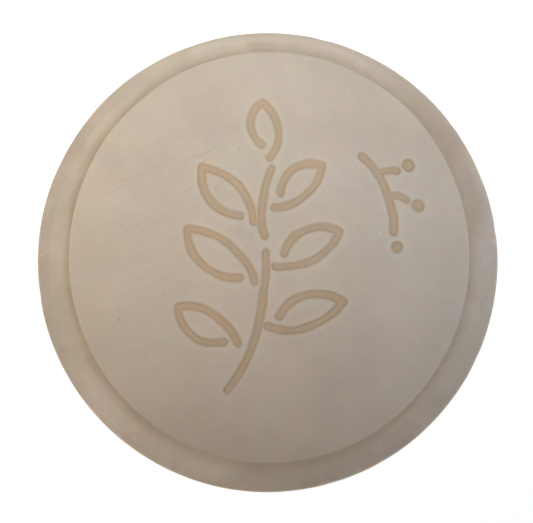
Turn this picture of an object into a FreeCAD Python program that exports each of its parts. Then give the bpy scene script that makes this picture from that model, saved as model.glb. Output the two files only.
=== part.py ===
"""Shaving soap puck: a round dished base with a slightly oval, stamped cake bonded on top.

Millimetres. +Z points up through the stamped face, +Y towards the top of the mark, and the
origin is the centre of the underside. Each piece is one solid in its own STEP file.
"""
import FreeCAD, Part
import math
import os

Vector = FreeCAD.Vector
UP = Vector(0, 0, 1)
ORIGIN = Vector(0, 0, 0)

# Driving dimensions of the whole puck
base_diameter = 76.0
overall_height = 21.0
cake_width = 66.0  # along X
cake_length = 67.9  # along Y
tier_step = 1.5  # from the base's lip up to the cake's sharp edge, before rounding
crown_rise = 1.2  # from the cake's edge up to the middle of its face
stroke_width = 1.2  # of the stamped mark
stroke_depth = 0.25

# The base: a plain disc with a shallow dish in its top
base_radius = base_diameter / 2
lip_height = overall_height - crown_rise - tier_step
lip_rounding = 0.45
underside_rounding = 1.4
dish_depth = 0.35
dish_floor_radius = 35.2
seat_height = lip_height - dish_depth

# The cake: an oval disc that stands on the dish's floor, a little off centre
cake_centre = Vector(0.25, 0.7, seat_height)
cake_edge_height = lip_height + tier_step
cake_edge_rounding = 0.3
cake_foot_rounding = 0.15
cake_blank_height = overall_height - seat_height + 1.0  # 1 mm more than the crown needs
flat_edge_band = 0.01  # an edge counts as lying at a height when it's this close to it

# The mark: a leafy sprig beside a small twig of berries, measured from the cake's centre.
# An arc is its start, its end and its bulge, the height of its middle to the left of its chord.
stem = [
    [((-6.8, -22.0), (-1.0, -6.4), -1.3), ((-1.0, -6.4), (-0.6, 0.6), -0.2)],
    [((-0.8, 3.2), (0.4, 14.4), 0.9)],
]
# A leaf is its root, its direction in degrees, its length, and how far its left and
# right sides bow out.
leaves = [
    ((-5.1, -14.4), 148, 11.5, 2.3, 2.0),
    ((-0.3, -11.5), 18, 13.0, 2.4, 2.2),
    ((-2.4, -4.2), 142, 14.0, 2.6, 2.3),
    ((1.0, -1.6), 28, 12.0, 2.4, 2.1),
    ((-2.5, 5.6), 133, 12.5, 2.3, 2.2),
    ((0.9, 8.0), 42, 10.5, 2.1, 1.9),
    ((0.1, 16.2), 97, 9.2, 2.0, 2.0),
]
leaf_mouth = 2.5  # from the root to the near end of the leaf's open side
leaf_mouth_turn = 24  # degrees that the open side's near end is turned off the leaf's direction
twig = [
    [((15.4, 16.4), (20.4, 4.0), 1.5)],
    [((17.8, 13.4), (21.0, 14.0), 0.4)],
    [((19.6, 9.8), (22.6, 9.2), 0.4)],
]
berries = [(22.9, 15.0), (24.4, 8.4), (21.0, 1.6)]
berry_diameter = 1.9


def arc_edge(start, end, bulge):
    """An arc from start to end whose middle lies bulge to the left of the chord."""
    first = Vector(*start)
    last = Vector(*end)
    leftward = UP.cross(last - first).normalize()
    middle = (first + last) / 2 + leftward * bulge
    return Part.Arc(first, middle, last).toShape()


def point_along(root, degrees, distance):
    angle = math.radians(degrees)
    return (root[0] + distance * math.cos(angle), root[1] + distance * math.sin(angle))


def leaf_path(root, degrees, length, left_bow, right_bow):
    """A leaf's outline in one stroke, from its open left side over the tip and back to the root."""
    tip = point_along(root, degrees, length)
    mouth = point_along(root, degrees + leaf_mouth_turn, leaf_mouth)
    return [(mouth, tip, left_bow), (tip, root, right_bow)]


def stroke_prism(arcs):
    """A groove's plan, a round-ended band along the arcs, as a column taller than the puck."""
    path = Part.Wire([arc_edge(*arc) for arc in arcs])
    band = path.makeOffset2D(stroke_width / 2)
    return Part.Face(band).extrude(UP * overall_height)


def mark_prisms():
    """Every stroke and berry of the mark, standing on the cake's centre."""
    strokes = stem + twig + [leaf_path(*leaf) for leaf in leaves]
    prisms = [stroke_prism(arcs) for arcs in strokes]
    prisms += [Part.makeCylinder(berry_diameter / 2, overall_height, Vector(*place)) for place in berries]
    return prisms[0].multiFuse(prisms[1:])


def crown_ball(lowered):
    """The ball whose cap is the cake's crowned face, lowered by the given depth.

    It lies on its side, so that neither its poles nor its seam fall on the face.
    """
    reach = cake_length / 2
    radius = (reach**2 + crown_rise**2) / (2 * crown_rise)
    middle = Vector(cake_centre.x, cake_centre.y, overall_height - radius - lowered)
    ball = Part.makeSphere(radius, middle)
    ball.rotate(middle, Vector(1, 0, 0), 90)
    return ball


def edges_at(solid, heights):
    """The edges that lie within a height band, given as its lowest and highest Z."""
    low, high = heights
    return [e for e in solid.Edges if low < e.BoundBox.ZMin and e.BoundBox.ZMax < high]


def soap_base():
    """The wide lower tier, turned about Z from one outline."""
    wall_bottom = underside_rounding
    wall_top = lip_height - lip_rounding
    underside_bend = underside_rounding * (1 - math.sqrt(0.5))
    lip_bend = lip_rounding * (1 - math.sqrt(0.5))
    lip_inner_radius = base_radius - lip_rounding

    corners = {
        "centre_low": Vector(0, 0, 0),
        "underside_edge": Vector(base_radius - underside_rounding, 0, 0),
        "wall_low": Vector(base_radius, 0, wall_bottom),
        "wall_high": Vector(base_radius, 0, wall_top),
        "lip_top": Vector(lip_inner_radius, 0, lip_height),
        "dish_edge": Vector(dish_floor_radius, 0, seat_height),
        "centre_high": Vector(0, 0, seat_height),
    }
    underside_middle = Vector(base_radius - underside_bend, 0, underside_bend)
    lip_middle = Vector(base_radius - lip_bend, 0, lip_height - lip_bend)
    outline = [
        Part.makeLine(corners["centre_low"], corners["underside_edge"]),
        Part.Arc(corners["underside_edge"], underside_middle, corners["wall_low"]).toShape(),
        Part.makeLine(corners["wall_low"], corners["wall_high"]),
        Part.Arc(corners["wall_high"], lip_middle, corners["lip_top"]).toShape(),
        Part.makeLine(corners["lip_top"], corners["dish_edge"]),
        Part.makeLine(corners["dish_edge"], corners["centre_high"]),
        Part.makeLine(corners["centre_high"], corners["centre_low"]),
    ]
    return Part.Face(Part.Wire(outline)).revolve(ORIGIN, UP, 360)


def soap_cake():
    """The oval upper tier: crowned on top, rounded at its edge and foot, with the mark sunk in it."""
    oval = Part.Ellipse(cake_centre, cake_length / 2, cake_width / 2).toShape()
    oval.rotate(cake_centre, UP, 90)
    column = Part.Face(Part.Wire([oval])).extrude(UP * cake_blank_height)
    blank = column.common(crown_ball(0))
    rim = edges_at(blank, (cake_edge_height - crown_rise, overall_height))
    blank = blank.makeFillet(cake_edge_rounding, rim)
    foot = edges_at(blank, (seat_height - flat_edge_band, seat_height + flat_edge_band))
    blank = blank.makeFillet(cake_foot_rounding, foot)

    prisms = mark_prisms()
    prisms.translate(Vector(cake_centre.x, cake_centre.y, 0))
    sunken = prisms.cut(crown_ball(stroke_depth))
    return blank.cut(sunken)


nodes = {
    "soap_base": soap_base(),
    "soap_cake": soap_cake(),
}

os.makedirs("parts", exist_ok=True)
for name, shape in nodes.items():
    solid = shape.Solids[0]
    solid.exportStep(f"parts/{name}.step")
    print(f"{name}: {len(shape.Solids)} solid, valid {solid.isValid()}, {solid.Volume / 1000:.2f} cm3")
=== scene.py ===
"""Looks of the shaving soap puck: a cloudy cast base and a stamped, waxy cake.

Lengths are in millimetres until make_piece turns them to metres. Every size and place is
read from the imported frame, or is a named value that says what it is.
"""
import math
import random

import bpy
import numpy as np
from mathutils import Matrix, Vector, noise
from mathutils.bvhtree import BVHTree
from mathutils.geometry import delaunay_2d_cdt


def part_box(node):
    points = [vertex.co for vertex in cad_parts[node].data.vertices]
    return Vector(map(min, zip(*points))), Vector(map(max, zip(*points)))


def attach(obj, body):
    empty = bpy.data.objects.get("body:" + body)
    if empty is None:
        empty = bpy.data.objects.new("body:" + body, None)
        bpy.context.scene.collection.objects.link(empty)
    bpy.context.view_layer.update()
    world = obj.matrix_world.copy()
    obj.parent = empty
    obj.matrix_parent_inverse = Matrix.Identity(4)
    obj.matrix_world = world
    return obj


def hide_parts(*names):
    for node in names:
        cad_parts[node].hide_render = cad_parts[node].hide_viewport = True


MM = 0.001

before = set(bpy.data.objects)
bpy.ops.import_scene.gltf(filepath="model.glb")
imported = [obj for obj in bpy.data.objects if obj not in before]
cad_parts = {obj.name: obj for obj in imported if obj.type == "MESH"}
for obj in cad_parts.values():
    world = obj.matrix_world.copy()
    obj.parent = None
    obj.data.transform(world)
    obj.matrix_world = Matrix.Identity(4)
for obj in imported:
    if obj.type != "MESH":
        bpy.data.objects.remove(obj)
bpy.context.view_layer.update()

# ---------------------------------------------------------------- sizes from the frame

base_low, base_high = (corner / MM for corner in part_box("soap_base"))
cake_low, cake_high = (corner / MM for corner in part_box("soap_cake"))

base_radius = (base_high.x - base_low.x) / 2
lip_height = base_high.z
seat_height = cake_low.z
crown_height = cake_high.z
cake_centre = (cake_low + cake_high).xy / 2
cake_reach = (cake_high - cake_low).xy / 2  # half its width along X, half its length along Y


def mesh_of(node):
    """A CAD node's corner positions in millimetres, and its triangles."""
    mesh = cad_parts[node].data
    corners = np.array([v.co for v in mesh.vertices]) / MM
    triangles = np.array([list(p.vertices) for p in mesh.polygons])
    return corners, triangles


cake_corners, cake_triangles = mesh_of("soap_cake")
cake_surface = BVHTree.FromPolygons(cake_corners.tolist(), cake_triangles.tolist())


def cad_face_height(x, y):
    """Height of the CAD cake's upper surface over a point, inside a groove or not."""
    above = Vector((x, y, crown_height + 1))
    return cake_surface.ray_cast(above, Vector((0, 0, -1)))[0].z


def measured_crown():
    """How fast the face drops away from its middle: drop divided by distance squared.

    It's measured on a circle near the face's edge, at the highest sample, which is in no groove.
    """
    samples = 24
    circle_share = 0.9  # of the cake's shorter reach
    reach = circle_share * min(cake_reach)
    turns = [2 * math.pi * k / samples for k in range(samples)]
    around = [(cake_centre.x + reach * math.cos(t), cake_centre.y + reach * math.sin(t)) for t in turns]
    highest = max(cad_face_height(x, y) for x, y in around)
    return (crown_height - highest) / reach**2


crown_curve = measured_crown()


def crown(x, y):
    """Height of the crowned face, as if it had no grooves. Works on numbers and arrays."""
    return crown_height - crown_curve * ((x - cake_centre.x) ** 2 + (y - cake_centre.y) ** 2)


cake_edge_height = crown(cake_centre.x, cake_centre.y + cake_reach.y)


def groove_walls():
    """The steep triangles inside the face, which are the walls of the stamped grooves."""
    steepest_wall_rise = 0.3  # of a wall's unit normal
    face_share = 0.94  # of the cake's reach, which leaves its edge and side out
    ends = cake_corners[cake_triangles]
    normals = np.cross(ends[:, 1] - ends[:, 0], ends[:, 2] - ends[:, 0])
    steep = np.abs(normals[:, 2]) < steepest_wall_rise * np.linalg.norm(normals, axis=1)
    off_centre = (ends.mean(axis=1)[:, :2] - np.array(cake_centre)) / np.array(cake_reach)
    inside = np.linalg.norm(off_centre, axis=1) < face_share
    return cake_triangles[steep & inside]


wall_triangles = groove_walls()
wall_surface = BVHTree.FromPolygons(cake_corners.tolist(), wall_triangles.tolist())
groove_depth = max(crown(x, y) - z for x, y, z in cake_corners[np.unique(wall_triangles)])


def groove_distance(x, y):
    """Distance in plan to the nearest groove wall: positive inside a groove, negative outside."""
    height = crown(x, y)
    gap = wall_surface.find_nearest(Vector((x, y, height - groove_depth / 2)))[3]
    sunk = height - cad_face_height(x, y) > groove_depth / 2
    return gap if sunk else -gap


# ---------------------------------------------------------------- mesh helpers


def field(points, size, seed):
    """Smooth noise from about -1 to 1 at each point, with features of the given size.

    Each seed gives a noise of its own.
    """
    shift = Vector((17.3, 5.1, 9.7)) * seed
    return np.array([noise.noise(Vector(p) / size + shift) for p in points])


def swell(points, layers):
    """Smooth noise in layers. A layer is its height, the size of its features and its seed."""
    return sum(height * field(points, size, seed) for height, size, seed in layers)


def ramp(value, start, end):
    """Smooth step from 0 at start to 1 at end."""
    t = np.clip((value - start) / (end - start), 0, 1)
    return t * t * (3 - 2 * t)


def band(value, middle, width):
    """A soft band: 1 at its middle, and falling off on both sides over its width."""
    return np.exp(-(((value - middle) / width) ** 2))


def bowl(gap, reach):
    """A round hollow's depth from 1 at its middle to 0 at its reach."""
    return np.clip(1 - (gap / reach) ** 2, 0, 1) ** 2


def rounded_path(corners, step):
    """Points at most a step apart along a path of (across, height, rounding) corners."""
    fewest_steps = 3  # round any corner
    slack = 0.01  # of a step, so that rounding errors add no point
    path = []
    for k, (across, height, rounding) in enumerate(corners):
        corner = Vector((across, height))
        if rounding == 0:
            path.append(corner)
            continue
        back = (Vector(corners[k - 1][:2]) - corner).normalized()
        onward = (Vector(corners[k + 1][:2]) - corner).normalized()
        half_angle = back.angle(onward) / 2
        run = rounding / math.tan(half_angle)
        hub = corner + (back + onward).normalized() * (rounding / math.sin(half_angle))
        first = (corner + back * run - hub).normalized()
        last = (corner + onward * run - hub).normalized()
        count = max(fewest_steps, math.ceil(first.angle(last) * rounding / step))
        path += [hub + first.slerp(last, n / count) * rounding for n in range(count + 1)]
    spaced = [path[0]]
    for start, end in zip(path, path[1:]):
        count = max(1, math.ceil((end - start).length / step - slack))
        spaced += [start.lerp(end, n / count) for n in range(1, count + 1)]
    return spaced


def lattice(spacing, keep):
    """The points of a triangular lattice that keep(x, y) accepts."""
    row_height = spacing * math.sqrt(3) / 2
    rows = math.ceil(base_radius / row_height)
    points = []
    for j in range(-rows, rows + 1):
        for i in range(-2 * rows, 2 * rows + 1):
            x, y = (i + j / 2) * spacing, j * row_height
            if keep(x, y):
                points.append((x, y))
    return points


def disc(spacing, radius):
    """The points of a triangular lattice within a radius of the puck's axis."""
    return lattice(spacing, lambda x, y: math.hypot(x, y) < radius)


def fill(outline, interior):
    """Triangles that join an outline's points and, numbered after them, the interior ones."""
    flat = [Vector(p) for p in outline + interior]
    loop = [(k, (k + 1) % len(outline)) for k in range(len(outline))]
    inside_only = 1
    merge_distance = 1e-6
    _, _, faces, origins, _, _ = delaunay_2d_cdt(flat, loop, [], inside_only, merge_distance)
    return [[origins[v][0] for v in face] for face in faces]


def closed_skin(rings, top_interior, bottom_interior):
    """A closed surface: rings of points from the top cap's edge to the bottom cap's, and two caps.

    The interiors are flat (x, y) points, put at the heights of their caps' edges. Returns the
    points, the faces, and the slice of the points that is the top interior.
    """
    around = len(rings[0])
    points = [p for ring in rings for p in ring]
    top = slice(len(points), len(points) + len(top_interior))
    points += [(x, y, rings[0][0][2]) for x, y in top_interior]
    bottom = slice(len(points), len(points) + len(bottom_interior))
    points += [(x, y, rings[-1][0][2]) for x, y in bottom_interior]

    faces = []
    for start in range(0, (len(rings) - 1) * around, around):
        for k in range(around):
            beside = (k + 1) % around
            faces.append((start + k, start + around + k, start + around + beside, start + beside))
    for face in fill([p[:2] for p in rings[0]], top_interior):
        faces.append([v if v < around else v - around + top.start for v in face])
    last = (len(rings) - 1) * around
    for face in fill([p[:2] for p in rings[-1]], bottom_interior):
        faces.append([v + last if v < around else v - around + bottom.start for v in reversed(face)])
    return np.array(points, float), faces, top


def knock_edge(points, hub, radii, height, knocks):
    """Presses knocks into an upper edge, round or oval. A knock is its azimuth, reach and depth."""
    for azimuth, reach, depth in knocks:
        turn = math.radians(azimuth)
        outward_and_up = np.array((math.cos(turn), math.sin(turn), 1.0))
        x, y = hub[0] + radii[0] * math.cos(turn), hub[1] + radii[1] * math.sin(turn)
        gap = np.linalg.norm(points - np.array((x, y, height)), axis=1)
        points -= bowl(gap, reach)[:, None] * outward_and_up * depth / math.sqrt(2)


def make_piece(name, points, faces, node, material):
    """A smooth-shaded mesh object in metres that stands for a CAD node."""
    mesh = bpy.data.meshes.new(name)
    mesh.from_pydata((points * MM).tolist(), [], faces)
    mesh.shade_smooth()
    mesh.materials.append(material)
    piece = bpy.data.objects.new(name, mesh)
    bpy.context.scene.collection.objects.link(piece)
    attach(piece, "root")
    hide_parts(node)
    return piece


def paint(piece, name, values):
    """Stores one number for each of a piece's points, for its material to read."""
    layer = piece.data.attributes.new(name, "FLOAT", "POINT")
    layer.data.foreach_set("value", values)


# ---------------------------------------------------------------- the stamped cake

cake_edge_rounding = 0.2
cake_foot_rounding = 0.15

# The cake's mesh
cake_ring_points = 520
cake_ring_step = 0.17
face_ring_inset = cake_edge_rounding + cake_ring_step  # of the innermost ring on the face
face_gap = 0.37  # from that ring to the face's other points
fine_spacing = 0.11  # of the face's points in and beside a groove
coarse_steps = 4  # fine spacings between the points of the plain face
all_fine_within = 0.4  # of a groove, every fine point is there
half_fine_within = 1.0  # of a groove, every second one is there
fine_within = 2.0  # of a groove, a coarse point's surroundings are tried for finer ones
underfoot_ring_reach = 1.0  # how far the rings go in under the foot
underfoot_gap = 2.0  # from those rings to the other points underneath
underfoot_spacing = 2.5

# The grooves, by distances from the CAD's wall: positive inside a groove, negative outside
groove_wall_run = 0.6  # how far a groove's soft wall runs in plan
groove_wall = (-0.45 * groove_wall_run, 0.55 * groove_wall_run)  # from its top to its bottom
groove_tint = (-0.5 * groove_wall_run, 0.33 * groove_wall_run)  # where its darker, warmer tint starts and is full: partly the groove's own tan, partly painted shade in the recess
groove_lip_height = 0.006  # soap squeezed up beside a groove
groove_lip = (-0.34, 0.2)  # the middle and the width of that band
halo = (-0.55, 0.45)  # the same for the paler band beside a groove
waver_size = 4.5  # of the sway of the stamped lines, as if drawn by hand
waver_reach = 0.2

# Layers of smooth noise: the height, the size of the features and the seed of each
groove_edge_waver = [(0.12, 2.4, 1), (0.05, 0.8, 2)]
groove_floor_swell = [(0.03, 0.9, 3)]
face_swell = [(0.05, 14, 4), (0.012, 3.5, 5)]
cake_outline_swell = [(0.07, 9, 6), (0.02, 2.5, 7)]
cake_outline_share = (0.93, 0.99)  # of the cake's reach, over which the outline's swell sets in

# Air pits in the face
pit_count = 26
pit_reaches = (0.16, 0.42)
pit_depths = (0.05, 0.14)
pit_share = 0.9  # of the cake's reach holds pits
pit_clearance = 1.0  # from a groove

# Knocks in the edge: the azimuth in degrees, the reach and the depth of each
cake_knocks = [
    (14, 1.6, 0.16),
    (63, 1.1, 0.1),
    (128, 1.9, 0.14),
    (197, 1.3, 0.12),
    (251, 2.2, 0.16),
    (318, 1.4, 0.14),
]


def scattered_pits():
    """Small round air pits over the face. A pit is its place, its reach and its depth."""
    dice = random.Random(11)
    pits = []
    while len(pits) < pit_count:
        across, along = dice.uniform(-pit_share, pit_share), dice.uniform(-pit_share, pit_share)
        x, y = cake_centre.x + across * cake_reach.x, cake_centre.y + along * cake_reach.y
        pit = (x, y, dice.uniform(*pit_reaches), dice.uniform(*pit_depths))
        if math.hypot(across, along) < pit_share and groove_distance(x, y) < -pit_clearance:
            pits.append(pit)
    return pits


face_pits = scattered_pits()


def near_pit(x, y):
    """Whether a place is in an air pit or right beside one."""
    return any(math.hypot(x - pit[0], y - pit[1]) < pit[2] + 2 * fine_spacing for pit in face_pits)


def waver(x, y):
    """A place nudged a little, so that the stamped lines waver as if drawn by hand."""
    place = Vector((x, y, 0)) / waver_size
    elsewhere = place + Vector((31.7, 12.9, 8.3))
    return x + waver_reach * noise.noise(place), y + waver_reach * noise.noise(elsewhere)


def face_interior():
    """Points over the stamped face, fine in and beside the grooves, and their groove distances."""
    inset = face_ring_inset + face_gap
    limit = cake_reach - Vector((inset, inset))

    def inside(x, y):
        return math.hypot((x - cake_centre.x) / limit.x, (y - cake_centre.y) / limit.y) < 1

    row_height = fine_spacing * math.sqrt(3) / 2
    points, distances = [], []
    for x, y in lattice(coarse_steps * fine_spacing, inside):
        distance = groove_distance(*waver(x, y))
        points.append((x, y))
        distances.append(distance)
        if distance < -fine_within and not near_pit(x + fine_spacing, y + fine_spacing):
            continue
        for j in range(coarse_steps):
            for i in range(coarse_steps):
                near = (x + (i + j / 2) * fine_spacing, y + j * row_height)
                if i == j == 0 or not inside(*near):
                    continue
                distance = groove_distance(*waver(*near))
                every_second = i % 2 == 0 and j % 2 == 0 and distance > -half_fine_within
                if distance > -all_fine_within or every_second or near_pit(*near):
                    points.append(near)
                    distances.append(distance)
    return points, np.array(distances)


def cake_rings():
    """Rings from the face's edge, over the rounded rim and down the side to under the foot."""
    side = cake_edge_height - seat_height
    corners = [
        (face_ring_inset, 0, 0),
        (0, 0, cake_edge_rounding),
        (0, -side, cake_foot_rounding),
        (underfoot_ring_reach, -side, 0),
    ]
    rings = []
    for inset, drop in rounded_path(corners, cake_ring_step):
        ring = []
        for k in range(cake_ring_points):
            turn = 2 * math.pi * k / cake_ring_points
            x = cake_centre.x + (cake_reach.x - inset) * math.cos(turn)
            y = cake_centre.y + (cake_reach.y - inset) * math.sin(turn)
            ring.append((x, y, seat_height + (crown(x, y) - seat_height) * (1 + drop / side)))
        rings.append(ring)
    return rings


def stamp(face, hand):
    """Presses the grooves into the face's points, whose wavering groove distances are given."""
    sunk = ramp(hand, *groove_wall)
    squeezed_up = groove_lip_height * band(hand, *groove_lip)
    face[:, 2] += squeezed_up - sunk * (groove_depth + swell(face, groove_floor_swell))


def build_cake(material):
    interior, distances = face_interior()
    underfoot = disc(underfoot_spacing, cake_reach.x - underfoot_ring_reach - underfoot_gap)
    points, faces, top = closed_skin(cake_rings(), interior, underfoot)

    face = points[top]
    face[:, 2] = crown(face[:, 0], face[:, 1])
    hand = distances + swell(face, groove_edge_waver)
    stamp(face, hand)
    for x, y, reach, depth in face_pits:
        face[:, 2] -= depth * bowl(np.hypot(face[:, 0] - x, face[:, 1] - y), reach)

    height_share = np.clip((points[:, 2] - seat_height) / (lip_height - seat_height), 0, 1)
    points[:, 2] += height_share * swell(points, face_swell)
    sideways = (points[:, :2] - np.array(cake_centre)) / np.array(cake_reach)
    outline_share = ramp(np.linalg.norm(sideways, axis=1), *cake_outline_share)
    points[:, :2] += sideways * (outline_share * swell(points, cake_outline_swell))[:, None]
    knock_edge(points, cake_centre, cake_reach, cake_edge_height, cake_knocks)
    points[:, 2] = np.maximum(points[:, 2], seat_height)

    piece = make_piece("stamped_soap_cake", points, faces, "soap_cake", material)
    marks = {"groove": ramp(hand, *groove_tint), "halo": band(hand, *halo)}
    for name, face_values in marks.items():
        values = np.zeros(len(points))
        values[top] = face_values
        paint(piece, name, values)
    return piece


# ---------------------------------------------------------------- the cast base

dish_floor_radius = 35.2
lip_rounding = 0.45
underside_rounding = 1.4

# The base's mesh
base_ring_points = 640
base_ring_step = 0.3
fine_ring_step = 0.12  # where the rings cross the bead at the cake's foot
fine_ring_radii = (dish_floor_radius - 4, dish_floor_radius + 0.9)
under_cake_gap = 1.0  # from the innermost ring to the other points under the cake
under_cake_spacing = 2.0
underside_ring_radius = base_radius - underside_rounding - 1.0  # of the innermost ring underneath
underside_gap = 0.5  # from that ring to the other points underneath
underside_spacing = 0.7
upper_reach = 1.0  # how far below the lip a point counts as part of the top
lowest_reach = 0.1  # how far above the floor a point counts as part of the underside

# The rim's shape
bead_height = 1.1  # of the soap that fills the corner at the cake's foot
bead_reach = 2.2
bead_start = (-0.25, -0.1)  # where it sets in, just under the cake's edge
bead_swell = [(0.3, 5, 16)]  # as a share of its height
cove_reach = 2.4  # from the cake's foot out to where the dish has risen to the rim
crest_radius = 35.6  # where the rim starts to fall away again
crest_height = 0.3  # of the crest over the lip outside it, where it is strongest
crest_least = 0.1  # its share elsewhere
crest_side = (165, 55)  # the azimuth where it is strongest and the half width, in degrees

# Layers of smooth noise: the height, the size of the features and the seed of each
wall_swell = [(0.08, 16, 11), (0.025, 4, 12)]
wall_inset = 0.05  # keeps the swollen wall inside the CAD's
wall_swell_radii = (35, 37.5)  # over which the wall's swell sets in
rim_swell = [(0.035, 7, 13), (0.01, 2.2, 14)]
rim_swell_gaps = (0.3, 2.0)  # outside the cake's foot, over which the rim's swell sets in
hollow_noise = [(1.0, 9, 15)]
hollow_depth = 0.12  # of the faint hollows in the underside
hollow_bias = 0.3  # above 0, more of the underside is hollow than not
hollow_insets = (1, 6)  # from the wall, over which the hollows set in

# Knocks in the two edges: the azimuth in degrees, the reach and the depth of each
lip_knocks = [
    (8, 1.5, 0.12),
    (37, 0.9, 0.1),
    (76, 1.8, 0.1),
    (141, 1.2, 0.14),
    (188, 2.0, 0.12),
    (233, 1.0, 0.12),
    (286, 1.6, 0.16),
    (335, 1.3, 0.12),
]
foot_knocks = [
    (22, 2.0, 0.2),
    (110, 1.5, 0.16),
    (205, 2.4, 0.2),
    (300, 1.6, 0.18),
]

# Where the base's colour changes: painted shade at the cake's foot, in the cove and by the crest, and a
# paler stretch of the rim
painted_foot_shade_fade = 2.2  # how far the painted warm shade at the cake's foot fades outwards
painted_crest_shade_run = 0.7  # from the crest out to where the painted shade on the rim is full
# A patch is its azimuth and half width in degrees, the gap from the cake's foot out to its middle,
# and its width across the rim.
painted_cove_shadow_patch = (32, 32, 2.0, 1.8)  # a brownish painted shadow in the cove
pale_patch = (236, 36, 3.2, 2.4)  # a paler stretch of the rim


def base_rings():
    """Flat-topped rings from under the cake, over the rim and down the wall to the underside."""
    under_cake, beside_bead = ((radius, lip_height, 0) for radius in fine_ring_radii)
    corners = [
        beside_bead,
        (base_radius, lip_height, lip_rounding),
        (base_radius, 0, underside_rounding),
        (underside_ring_radius, 0, 0),
    ]
    path = rounded_path([under_cake, beside_bead], fine_ring_step)
    path += rounded_path(corners, base_ring_step)[1:]
    turns = [2 * math.pi * k / base_ring_points for k in range(base_ring_points)]
    rings = []
    for radius, height in path:
        rings.append([(radius * math.cos(t), radius * math.sin(t), height) for t in turns])
    return rings


def foot_gap(points):
    """How far each point lies outside the cake's foot, in plan."""
    out = (points[:, :2] - np.array(cake_centre)) / np.array(cake_reach)
    return (np.linalg.norm(out, axis=1) - 1) * min(cake_reach)


def on_one_side(points, azimuth, half_width):
    """1 near an azimuth, falling softly to 0 at the half width beside it. Both are in degrees."""
    turn = np.arctan2(points[:, 1], points[:, 0]) - math.radians(azimuth)
    return ramp(np.cos(turn), math.cos(math.radians(half_width)), math.cos(math.radians(half_width / 4)))


def rim_drop(points, radius, gap):
    """How far the base's top lies below its lip: the dish, and a slope outside the soft crest."""
    dish = (lip_height - seat_height) * (1 - ramp(gap, 0, cove_reach))
    strength = crest_least + (1 - crest_least) * on_one_side(points, *crest_side)
    return dish + crest_height * strength * ramp(radius, crest_radius, base_radius)


def bead(points, gap):
    """Height of the soap that fills the corner at the cake's foot, at a gap outside the foot."""
    height = bead_height * np.clip(1 - gap / bead_reach, 0, 1) ** 2 * ramp(gap, *bead_start)
    return height * (1 + swell(points, bead_swell))


def underside_hollows(points, radius):
    """Depth of the faint hollows that cast soap has underneath, inside the rounded edge."""
    depth = hollow_depth * np.clip(hollow_bias + swell(points, hollow_noise), 0, 1)
    return depth * ramp(base_radius - radius, *hollow_insets)


def painted_crest_shade(points, radius):
    """Where the rim gets a painted shade, a little darker: by the crest's strong side, most of all outside
    it, where the rim slopes away.
    """
    outside = ramp(radius, crest_radius, crest_radius + painted_crest_shade_run)
    return on_one_side(points, *crest_side) * (1 + outside) / 2


def patch(points, gap, place):
    """A soft patch on the rim: 1 at its azimuth and at its middle's gap outside the cake's foot."""
    azimuth, half_width, middle, width = place
    return on_one_side(points, azimuth, half_width) * band(gap, middle, width)


def build_base(material):
    under_cake = disc(under_cake_spacing, fine_ring_radii[0] - under_cake_gap)
    underside = disc(underside_spacing, underside_ring_radius - underside_gap)
    points, faces, _ = closed_skin(base_rings(), under_cake, underside)

    radius = np.hypot(points[:, 0], points[:, 1])
    outward = points[:, :2] / np.maximum(radius, 1e-6)[:, None]
    gap = foot_gap(points)
    upper = points[:, 2] > lip_height - upper_reach
    lowest = points[:, 2] < lowest_reach

    points[:, 2] -= rim_drop(points, radius, gap) * ramp(points[:, 2], lip_height / 2, lip_height)
    out = swell(points, wall_swell) - wall_inset
    points[:, :2] += outward * (out * ramp(radius, *wall_swell_radii))[:, None]
    points[:, 2] += upper * swell(points, rim_swell) * ramp(gap, *rim_swell_gaps)
    points[:, 2] += upper * bead(points, gap)
    points[:, 2] += lowest * underside_hollows(points, radius)

    round_radii = (base_radius, base_radius)
    upside_down = np.array((1, 1, -1))
    knock_edge(points, (0, 0), round_radii, lip_height, lip_knocks)
    points *= upside_down
    knock_edge(points, (0, 0), round_radii, 0, foot_knocks)
    points *= upside_down

    piece = make_piece("cast_soap_base", points, faces, "soap_base", material)
    # painted shade: warmer and darker right beside the cake's foot, fading outwards
    paint(piece, "painted_foot_shade", np.exp(-np.maximum(gap, 0) / painted_foot_shade_fade) * upper)
    # painted shade on the rim by the crest's strong side
    paint(piece, "painted_crest_shade", painted_crest_shade(points, radius) * upper)
    # painted shadow: a brownish patch in the cove beside the cake's foot
    paint(piece, "painted_cove_shadow", patch(points, gap, painted_cove_shadow_patch) * upper)
    paint(piece, "pale", patch(points, gap, pale_patch) * upper)
    return piece


# ---------------------------------------------------------------- material helpers

WHITE = (1, 1, 1)
turned_shift = 31.7  # moves a second noise away from the first


def tone(red, green, blue):
    """A linear colour from its usual 0 to 255 display values."""
    return tuple((c / 255) ** 2.2 for c in (red, green, blue))


def add(tree, kind, inputs=None, **settings):
    """A shader node. An input given a socket is linked to it, and any other value is set."""
    node = tree.nodes.new(kind)
    for key, value in settings.items():
        setattr(node, key, value)
    for key, value in (inputs or {}).items():
        socket = node.inputs[key]
        if isinstance(value, bpy.types.NodeSocket):
            tree.links.new(value, socket)
        elif socket.type == "RGBA":
            socket.default_value = (*value, 1.0)
        else:
            socket.default_value = value
    return node


def maths(tree, operation, first, second):
    return add(tree, "ShaderNodeMath", {0: first, 1: second}, operation=operation).outputs[0]


def spread(tree, value, low, high, to_low=0.0, to_high=1.0):
    """Stretches a value's range from low..high to to_low..to_high, and holds it at the ends."""
    ends = {"From Min": low, "From Max": high, "To Min": to_low, "To Max": to_high}
    return add(tree, "ShaderNodeMapRange", {"Value": value, **ends}).outputs[0]


def blend(tree, share, first, second):
    """A colour that goes from first to second as the share goes from 0 to 1."""
    return add(tree, "ShaderNodeMix", {0: share, 6: first, 7: second}, data_type="RGBA").outputs[2]


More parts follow.
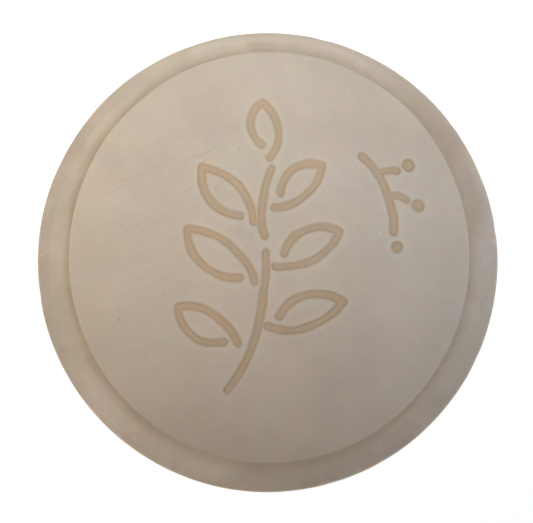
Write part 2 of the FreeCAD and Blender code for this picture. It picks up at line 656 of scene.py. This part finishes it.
def tint(tree, share, colour, factor):
    """The colour multiplied by a factor, as far as the share says."""
    inputs = {0: share, 6: colour, 7: factor}
    return add(tree, "ShaderNodeMix", inputs, data_type="RGBA", blend_type="MULTIPLY").outputs[2]


def painted(tree, name):
    """A piece's own number at each point, as paint stored it."""
    return add(tree, "ShaderNodeAttribute", attribute_name=name).outputs["Fac"]


def place_in_mm(tree, shift=0.0):
    """The shaded point in millimetres, in its own object's frame."""
    place = add(tree, "ShaderNodeTexCoord").outputs["Object"]
    scaled = add(tree, "ShaderNodeVectorMath", {0: place, "Scale": 1 / MM}, operation="SCALE").outputs[0]
    return add(tree, "ShaderNodeVectorMath", {0: scaled, 1: (shift, shift, shift)}).outputs[0]


def clouds(tree, place, size, detail=2.0, distortion=0.0):
    """Cloudy noise, mostly from 0.3 to 0.7, with features of the given size in millimetres."""
    inputs = {"Vector": place, "Scale": 1 / size, "Detail": detail, "Distortion": distortion}
    return add(tree, "ShaderNodeTexNoise", inputs).outputs[0]


def cells(tree, place, size):
    """Distance to the nearest of many scattered points, in millimetres."""
    node = add(tree, "ShaderNodeTexVoronoi", {"Vector": place, "Scale": 1 / size})
    return maths(tree, "MULTIPLY", node.outputs["Distance"], size)


def dots(tree, place, spacing, reach):
    """Round dots of about the given reach, one or none per cell of the given spacing."""
    some = spread(tree, clouds(tree, place, 1.7 * spacing), 0.5, 0.62)
    edge = maths(tree, "MULTIPLY", some, reach)
    return spread(tree, maths(tree, "SUBTRACT", edge, cells(tree, place, spacing)), 0.0, 0.5 * reach)


def drawn_out(tree, place, degrees, along, across):
    """Noise in streaks that run at an angle in plan, with the given length and width."""
    inputs = {"Vector": place, "Rotation": (0, 0, math.radians(degrees)), "Scale": (along, across, 1)}
    turned = add(tree, "ShaderNodeMapping", inputs, vector_type="TEXTURE").outputs[0]
    return clouds(tree, turned, size=1.0, distortion=0.35)


def bumps(tree, height, rise, below=None):
    """A bump of the given rise in millimetres, on top of the bumps below it."""
    inputs = {"Height": height, "Distance": rise * MM}
    if below:
        inputs["Normal"] = below
    return add(tree, "ShaderNodeBump", inputs).outputs[0]


# ---------------------------------------------------------------- the two soaps

soap_ior = 1.42
soap_glow_reach = 0.7  # how far light spreads inside soap
soap_glow_colour = (1.0, 0.72, 0.46)  # its share for red, green and blue light
# painted shade inside the small air pits: what their colour is multiplied by
painted_pit_shade = (0.7, 0.62, 0.55)
drift_size = 8  # of the wide clouds of faint tints in both soaps

# The knife's streaks, which lie in a round zone of the face
streak_zone_middle = (cake_centre.x - 15, cake_centre.y + 8, crown_height)
streak_zone_radii = (19, 9)  # where the streaks start to show, and where they are full


def waxy_material(name):
    """A new soap material: its node tree, and its shader with soap's soft translucence."""
    material = bpy.data.materials.new(name)
    material.use_nodes = True
    shader = material.node_tree.nodes["Principled BSDF"]
    shader.inputs["IOR"].default_value = soap_ior
    shader.inputs["Subsurface Weight"].default_value = 1.0
    shader.inputs["Subsurface Radius"].default_value = soap_glow_colour
    shader.inputs["Subsurface Scale"].default_value = soap_glow_reach * MM
    return material, material.node_tree, shader


def plug(tree, shader, inputs):
    for name, socket in inputs.items():
        tree.links.new(socket, shader.inputs[name])


def drifting(tree, aside, colour, first, second):
    """The colour, drifting in wide clouds between two faint tints."""
    drift = spread(tree, clouds(tree, aside, drift_size), 0.38, 0.62)
    return tint(tree, 1.0, colour, blend(tree, drift, first, second))


def mottled(tree, aside, colour, size, strength, factor):
    """The colour with small clouds that multiply it by a factor, up to a strength."""
    mottle = spread(tree, clouds(tree, aside, size, detail=3), 0.3, 0.7, 0.0, strength)
    return tint(tree, mottle, colour, factor)


def streak_zone(tree, place):
    """1 on the left of the face, where a knife has wiped the wax, down to 0 elsewhere."""
    ends = {0: place, 1: streak_zone_middle}
    gap = add(tree, "ShaderNodeVectorMath", ends, operation="DISTANCE").outputs["Value"]
    return spread(tree, gap, *streak_zone_radii)


def knife_streaks(tree, place, aside):
    """Thin scratches in loose groups, inside the streak zone."""
    lines = spread(tree, drawn_out(tree, place, degrees=27, along=8, across=0.5), 0.55, 0.7)
    patches = spread(tree, clouds(tree, aside, size=6), 0.38, 0.62)
    return maths(tree, "MULTIPLY", streak_zone(tree, place), maths(tree, "MULTIPLY", lines, patches))


def cake_soap():
    """The stamped cake: even, creamy soap with faint clouds, knife streaks, specks and pits."""
    material, tree, shader = waxy_material("cake_soap")
    place = place_in_mm(tree)
    aside = place_in_mm(tree, turned_shift)
    streaks = knife_streaks(tree, place, aside)
    specks = dots(tree, place, spacing=5.2, reach=0.42)
    pits = dots(tree, aside, spacing=3.4, reach=0.17)

    cloud = spread(tree, clouds(tree, place, size=12, detail=3), 0.36, 0.64)
    colour = blend(tree, cloud, tone(220, 204, 186), tone(226, 210, 192))
    colour = drifting(tree, aside, colour, (1.0, 0.99, 0.982), (0.995, 1.0, 0.972))
    colour = mottled(tree, aside, colour, size=2.2, strength=0.6, factor=(0.955, 0.95, 0.94))
    colour = tint(tree, streaks, colour, (0.99, 0.98, 0.97))
    colour = blend(tree, maths(tree, "MULTIPLY", specks, 0.55), colour, tone(245, 237, 226))
    # painted shade in the air pits
    colour = tint(tree, maths(tree, "MULTIPLY", pits, 0.8), colour, painted_pit_shade)
    pale_halo = maths(tree, "MULTIPLY", painted(tree, "halo"), 0.15)
    colour = blend(tree, pale_halo, colour, tone(236, 224, 209))
    # the grooves' tint: partly their own tan colour, partly painted shade in the recess, reaching onto the
    # walls
    colour = tint(tree, painted(tree, "groove"), colour, (0.885, 0.775, 0.63))

    grain = bumps(tree, clouds(tree, place, size=0.9, detail=3), rise=0.018)
    grain = bumps(tree, clouds(tree, place, size=0.16), rise=0.0035, below=grain)
    grain = bumps(tree, streaks, rise=0.05, below=grain)
    grain = bumps(tree, maths(tree, "SUBTRACT", 1.0, pits), rise=0.05, below=grain)
    roughness = spread(tree, clouds(tree, aside, size=3.1, detail=4), 0.3, 0.7, 0.44, 0.62)
    plug(tree, shader, {"Base Color": colour, "Roughness": roughness, "Normal": grain})
    return material


def base_soap():
    """The cast base: the same soap, cloudier, with painted warm shade at the cake's foot, a painted shadow
    in the cove and painted shade on the rim by the crest.
    """
    material, tree, shader = waxy_material("base_soap")
    place = place_in_mm(tree)
    aside = place_in_mm(tree, turned_shift)
    specks = dots(tree, place, spacing=3.6, reach=0.4)
    pits = dots(tree, aside, spacing=2.6, reach=0.2)

    marble = spread(tree, clouds(tree, place, size=6.5, detail=3, distortion=0.6), 0.34, 0.68)
    colour = blend(tree, marble, tone(218, 203, 186), tone(229, 215, 199))
    colour = drifting(tree, aside, colour, (1.0, 0.985, 0.99), (0.985, 1.0, 0.98))
    colour = mottled(tree, aside, colour, size=2.6, strength=0.5, factor=(0.95, 0.945, 0.935))
    colour = blend(tree, maths(tree, "MULTIPLY", specks, 0.5), colour, tone(244, 236, 225))
    # painted shade in the air pits
    colour = tint(tree, maths(tree, "MULTIPLY", pits, 0.8), colour, painted_pit_shade)
    # painted warm shade where the cake's foot meets the base
    colour = tint(tree, painted(tree, "painted_foot_shade"), colour, (0.98, 0.92, 0.84))
    # painted shade on the rim, darkest outside the crest
    colour = tint(tree, painted(tree, "painted_crest_shade"), colour, (0.91, 0.89, 0.87))
    # painted shadow in the cove
    colour = tint(tree, painted(tree, "painted_cove_shadow"), colour, (0.82, 0.77, 0.71))
    colour = tint(tree, painted(tree, "pale"), colour, (1.15, 1.16, 1.16))

    grain = bumps(tree, clouds(tree, place, size=1.6, detail=3), rise=0.05)
    grain = bumps(tree, clouds(tree, place, size=0.2), rise=0.005, below=grain)
    grain = bumps(tree, maths(tree, "SUBTRACT", 1.0, pits), rise=0.06, below=grain)
    roughness = spread(tree, clouds(tree, aside, size=2.6, detail=4), 0.3, 0.7, 0.42, 0.64)
    plug(tree, shader, {"Base Color": colour, "Roughness": roughness, "Normal": grain})
    return material


# ---------------------------------------------------------------- floor, lights and camera

floor_half_width = 2000
floor_drop = 0.05  # keeps the floor just clear of the underside
floor_shown = 0.93  # how brightly the floor glows to the camera
floor_shown_at_foot = 0.35  # the same where the puck's foot meets it
floor_shown_diffuse = 0.25  # how much of the lamps' light it shows the camera on top
floor_shade_reach = 0.3  # from the wall out to where the shade at the foot ends
floor_felt = 0.95  # how brightly it glows on the puck's wall
floor_felt_colour = (1, 0.97, 0.92)
floor_felt_diffuse = 0.8  # how much of the lamps' light it throws back at the wall
floor_felt_reach = 16  # from the wall out to where that glow is full
world_felt_colour = (0.055, 0.046, 0.042)  # the weak, even light that the puck gets

# Each lamp's azimuth and elevation in degrees, the middle of its pool of light at the height of
# the puck's top, its power and its colour
pools = {
    "left_pool": (90, 70, (-45, 25), 4.1, (1.0, 0.9, 0.76)),
    "right_pool": (-90, 70, (25.5, 48), 4.6, (0.77, 0.85, 1.0)),
    "top_pool": (0, 86, (-30, 70), 0.8, (0.2, 0.8, 1.0)),
    "edge_pool": (-90, 70, (78, 4), 0.7, (0.3, 0.7, 1.0)),
}
lamp_distance = 430
lamp_radius = 60  # how wide a lamp is, which softens its shadows
pool_radius = 95

camera_distance = 500
camera_tilt = 3.5  # degrees towards the bottom of the mark
camera_sensor = 36
frame_width = 89.25  # seen across the picture at the puck's middle
picture_middle = (-0.18, 0.45)  # the point of the puck, in plan, in the picture's middle


def glowing(tree, colour, strength):
    return add(tree, "ShaderNodeEmission", {"Color": colour, "Strength": strength}).outputs[0]


def diffuse(tree, brightness):
    grey = (brightness, brightness, brightness)
    return add(tree, "ShaderNodeBsdfDiffuse", {"Color": grey}).outputs[0]


def both(tree, first, second):
    return add(tree, "ShaderNodeAddShader", {0: first, 1: second}).outputs[0]


def seen_by_camera(tree):
    """1 for the camera's own rays and 0 for all others."""
    return add(tree, "ShaderNodeLightPath").outputs["Is Camera Ray"]


def floor_material():
    """Nearly white to the camera, with a shade where the puck's foot meets the floor.

    It glows softly on the puck's wall, but not from right beside the foot.
    """
    material = bpy.data.materials.new("floor_white")
    material.use_nodes = True
    tree = material.node_tree
    tree.nodes.clear()
    radius = add(tree, "ShaderNodeVectorMath", {0: place_in_mm(tree)}, operation="LENGTH").outputs["Value"]

    foot = base_radius - underside_rounding
    shade_end = base_radius + floor_shade_reach
    light = spread(tree, radius, foot, shade_end, floor_shown_at_foot, floor_shown)
    shown = both(tree, glowing(tree, WHITE, light), diffuse(tree, floor_shown_diffuse))
    glow = spread(tree, radius, base_radius, base_radius + floor_felt_reach, 0.0, floor_felt)
    felt = both(tree, glowing(tree, floor_felt_colour, glow), diffuse(tree, floor_felt_diffuse))
    surface = add(tree, "ShaderNodeMixShader", {0: seen_by_camera(tree), 1: felt, 2: shown}).outputs[0]
    add(tree, "ShaderNodeOutputMaterial", {"Surface": surface})
    return material


def build_floor():
    """One wide square just under the puck."""
    half = floor_half_width * MM
    mesh = bpy.data.meshes.new("floor")
    corners = [(-half, -half, 0), (half, -half, 0), (half, half, 0), (-half, half, 0)]
    mesh.from_pydata(corners, [], [(0, 1, 2, 3)])
    mesh.materials.append(floor_material())
    floor = bpy.data.objects.new("floor", mesh)
    floor.location.z = -floor_drop * MM
    bpy.context.scene.collection.objects.link(floor)


def build_world():
    """White to the camera, and a weak, even light on the puck."""
    world = bpy.data.worlds.new("studio")
    world.use_nodes = True
    tree = world.node_tree
    tree.nodes.clear()
    colour = blend(tree, seen_by_camera(tree), world_felt_colour, WHITE)
    glow = add(tree, "ShaderNodeBackground", {"Color": colour, "Strength": 1.0}).outputs[0]
    add(tree, "ShaderNodeOutputWorld", {"Surface": glow})
    bpy.context.scene.world = world


def polar(azimuth, elevation, distance):
    """A point in metres: azimuth 0 is +Y, the top of the mark, and 90 is -X, its left."""
    a, e = math.radians(azimuth), math.radians(elevation)
    flat = distance * math.cos(e)
    return Vector((-flat * math.sin(a), flat * math.cos(a), distance * math.sin(e))) * MM


def pool_light(name, azimuth, elevation, middle, power, colour):
    """A lamp high above that throws a soft-edged pool of light on the puck's top."""
    place = polar(azimuth, elevation, lamp_distance)
    target = Vector((*middle, crown_height)) * MM
    data = bpy.data.lights.new(name, "SPOT")
    data.energy = power
    data.color = colour
    data.spot_size = 2 * math.atan(pool_radius * MM / (target - place).length)
    data.spot_blend = 1.0
    data.shadow_soft_size = lamp_radius * MM
    light = bpy.data.objects.new(name, data)
    light.location = place
    light.rotation_euler = (target - place).to_track_quat("-Z", "Y").to_euler()
    light.visible_camera = False
    bpy.context.scene.collection.objects.link(light)


def build_camera():
    """A distant camera above the face, tilted and framed as the photo is."""
    tilt = math.radians(camera_tilt)
    aim = Vector((*picture_middle, crown_height / 2)) * MM
    back = Vector((0, -math.sin(tilt), math.cos(tilt)))
    data = bpy.data.cameras.new("camera")
    data.sensor_width = camera_sensor
    data.lens = camera_sensor * camera_distance / frame_width
    data.clip_start = camera_distance * MM / 50
    data.clip_end = camera_distance * MM * 20
    camera = bpy.data.objects.new("camera", data)
    camera.location = aim + back * camera_distance * MM
    camera.rotation_euler = (-back).to_track_quat("-Z", "Y").to_euler()
    bpy.context.scene.collection.objects.link(camera)
    bpy.context.scene.camera = camera


build_cake(cake_soap())
build_base(base_soap())
build_floor()
build_world()
for pool_name, pool in pools.items():
    pool_light(pool_name, *pool)
build_camera()
bpy.context.scene.view_settings.view_transform = "Standard"
